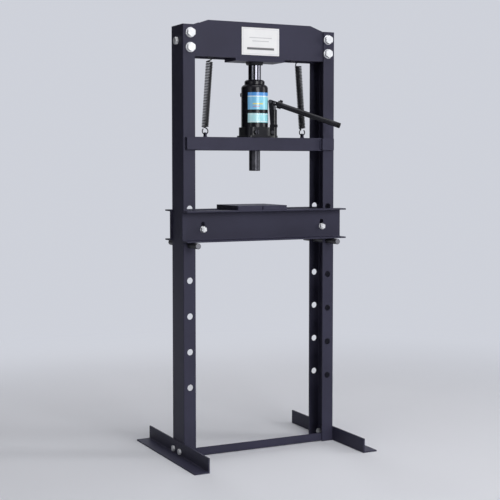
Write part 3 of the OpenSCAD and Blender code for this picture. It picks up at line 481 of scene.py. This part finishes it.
weld_run("guide_plate_welds", "carriage", [
    bead((side * GUIDE_EDGE, face * BAR_FACE, GUIDE_LOW + GUIDE_INSET),
         (side * GUIDE_EDGE, face * BAR_FACE, GUIDE_HIGH - GUIDE_INSET),
         (-side, 0, 0), (0, face, 0), GUIDE_LEG)
    for side in (-1, 1) for face in (-1, 1)])
weld_run("spring_lug_welds", "carriage", [
    bead((side * LUG_MIDDLE + way * LUG_HALF, LUG_LOW.y, LUG_LOW.z),
         (side * LUG_MIDDLE + way * LUG_HALF, LUG_HIGH.y, LUG_LOW.z), (way, 0, 0), (0, 0, 1), LUG_LEG)
    for side in (-1, 1) for way in (-1, 1)])
weld_run("stiffener_welds", "frame", [
    bead((side * x, face * STIFF_HIGH.y, STIFF_LOW.z + GUIDE_INSET),
         (side * x, face * STIFF_HIGH.y, STIFF_HIGH.z - GUIDE_INSET),
         (side * way, 0, 0), (0, -face, 0), STIFF_LEG)
    for x, way in zip(STIFF_FACES, (-1, 1)) for side in (-1, 1) for face in (-1, 1)])


# Finishes and rounded edges on the frame's own pieces

EDGE = 0.6 * MM
FILM_EDGE = 0.1 * MM
OWN_EDGES = {"label_upper": FILM_EDGE, "label_lower": FILM_EDGE}
NEAR = 0.001 * MM
OWN_NEAR = {"jack_base": 0.15 * MM}


def round_edges(piece, width, near):
    """Points closer than near joined, flat faces joined, sharp edges rounded: modifiers on the piece."""
    weld = piece.modifiers.new("join", "WELD")
    weld.merge_threshold = near
    flat = piece.modifiers.new("flat_faces", "DECIMATE")
    flat.decimate_type = "DISSOLVE"
    flat.angle_limit = np.radians(0.6)
    bevel = piece.modifiers.new("edge", "BEVEL")
    bevel.width = width
    bevel.segments = 2
    bevel.limit_method = "ANGLE"
    bevel.angle_limit = np.radians(32)
    shading = piece.modifiers.new("shading", "WEIGHTED_NORMAL")
    shading.keep_sharp = False


for row in frame["record"]["subparts"]:
    piece = frame["nodes"][row["node"]]
    finish = OWN_FINISH.get(row["node"], FINISHES[row["material_slot"]])
    if not piece.material_slots:
        piece.data.materials.append(finish)
    for held in piece.material_slots:
        held.material = finish
    round_edges(piece, OWN_EDGES.get(row["node"], EDGE), OWN_NEAR.get(row["node"], NEAR))


# Stage, light and camera

PALE = (0.62, 0.64, 0.70)


def stage_floor():
    """Round pale floor: lit paper near the press, which turns far out into the tone of the surround."""
    radius = np.concatenate([np.linspace(0.02, 4, 12), np.linspace(5, 40, 10)])[:, None]
    angle = np.linspace(0, -2 * np.pi, 48, endpoint=False)[None, :]
    rings = np.stack([radius * np.cos(angle), radius * np.sin(angle), 0 * radius + 0 * angle], axis=2)
    points, faces = sleeve(rings)
    floor = shaped("studio_floor", [(points, faces[:-1])])
    paint = Paint("studio_paper", metallic=0.0, specular_ior_level=0.1, roughness=0.9)
    tone = paint.noise(1.2, 3.0)
    paint.feed("Base Color", paint.mix(tone, (0.76, 0.77, 0.82), (0.80, 0.81, 0.86)))
    x, y, z = paint.axes()
    far = paint.ramp(paint.math("SQRT", x * x + y * y), 0.9, 2.8)
    glow = paint.node("Emission", inputs={"Color": (*PALE, 1), "Strength": paint.seen()})
    lit = Value(paint, paint.shader.outputs[0])
    both = paint.node("MixShader", inputs={0: far, 1: lit, 2: glow})
    paint.tree.links.new(both.socket, paint.tree.nodes["Material Output"].inputs["Surface"])
    floor.data.materials.append(paint.material)


def dark_flag(name, centre, facing, wide, high):
    """Black studio card that keeps stray light off one side of the press; the camera doesn't see it."""
    centre, facing = np.asarray(centre, float), unit(np.asarray(facing, float))
    side = np.array([-facing[1], facing[0], 0]) * wide / 2
    lift = np.array([0, 0, high / 2])
    corners = np.array([centre + a * side + b * lift for a, b in ((-1, -1), (1, -1), (1, 1), (-1, 1))])
    card = shaped(name, [(corners, [(0, 1, 2, 3)])])
    paint = Paint("black_card", base_color=(0.01, 0.01, 0.01, 1), roughness=0.9, specular_ior_level=0.0)
    card.data.materials.append(paint.material)
    card.visible_camera = False
    card.visible_shadow = False


def soft_light(name, place, aim, wide, high, power, mirrored=True):
    """Rectangular area light that looks at a point; one that isn't mirrored stays out of reflections."""
    data = bpy.data.lights.new(name, "AREA")
    data.shape = "RECTANGLE"
    data.size = wide
    data.size_y = high
    data.energy = power
    lamp = bpy.data.objects.new(name, data)
    lamp.location = place
    lamp.rotation_euler = (Vector(aim) - Vector(place)).to_track_quat("-Z", "Y").to_euler()
    lamp.visible_camera = False
    lamp.visible_glossy = mirrored
    bpy.context.scene.collection.objects.link(lamp)


def studio_world():
    """Surround that lights dimly, and shows pale to the camera and in reflections."""
    world = bpy.data.worlds.new("studio_surround")
    bpy.context.scene.world = world
    world.use_nodes = True
    nodes = Nodes(world.node_tree)
    ground = world.node_tree.nodes["Background"]
    ground.inputs["Color"].default_value = (*PALE, 1)
    dim = 0.12
    world.node_tree.links.new((dim + nodes.seen() * (1 - dim)).socket, ground.inputs["Strength"])


def photo_camera():
    """Camera at the photograph's place: lens, direction and a small vertical shift."""
    data = bpy.data.cameras.new("photo_camera")
    data.sensor_width = 36
    data.lens = 81.97
    data.shift_y = -0.04
    camera = bpy.data.objects.new("photo_camera", data)
    camera.location = (-1.7998, -3.57665, 1.0002)
    camera.rotation_euler = Vector((0.4452, 0.8936, -0.0574)).to_track_quat("-Z", "Y").to_euler()
    bpy.context.scene.collection.objects.link(camera)
    bpy.context.scene.camera = camera


stage_floor()
dark_flag("left_flag", (-1.5, 1.3, 1.5), (0.75, -0.66, 0), 2.6, 1.9)
dark_flag("camera_flag", (-2.6, -4.2, 1.2), (0.53, 0.85, 0), 3.4, 3.2)
soft_light("front_soft", (0.1, -4.6, 1.9), (0, 0, 0.85), 1.8, 2.4, 125)
soft_light("right_strip", (3.6, -2.0, 1.7), (0, 0, 0.85), 0.8, 2.4, 45)
soft_light("left_strip", (-3.56, -2.22, 1.4), (0, 0, 1.0), 0.30, 2.2, 9)
soft_light("top_soft", (0.2, -0.6, 4.0), (0, 0, 0.5), 2.4, 2.4, 55)
soft_light("back_soft", (0.6, 4.4, 1.6), (0, 0, 0.85), 1.6, 2.0, 75, mirrored=False)
studio_world()
photo_camera()
bpy.context.scene.view_settings.view_transform = "Standard"
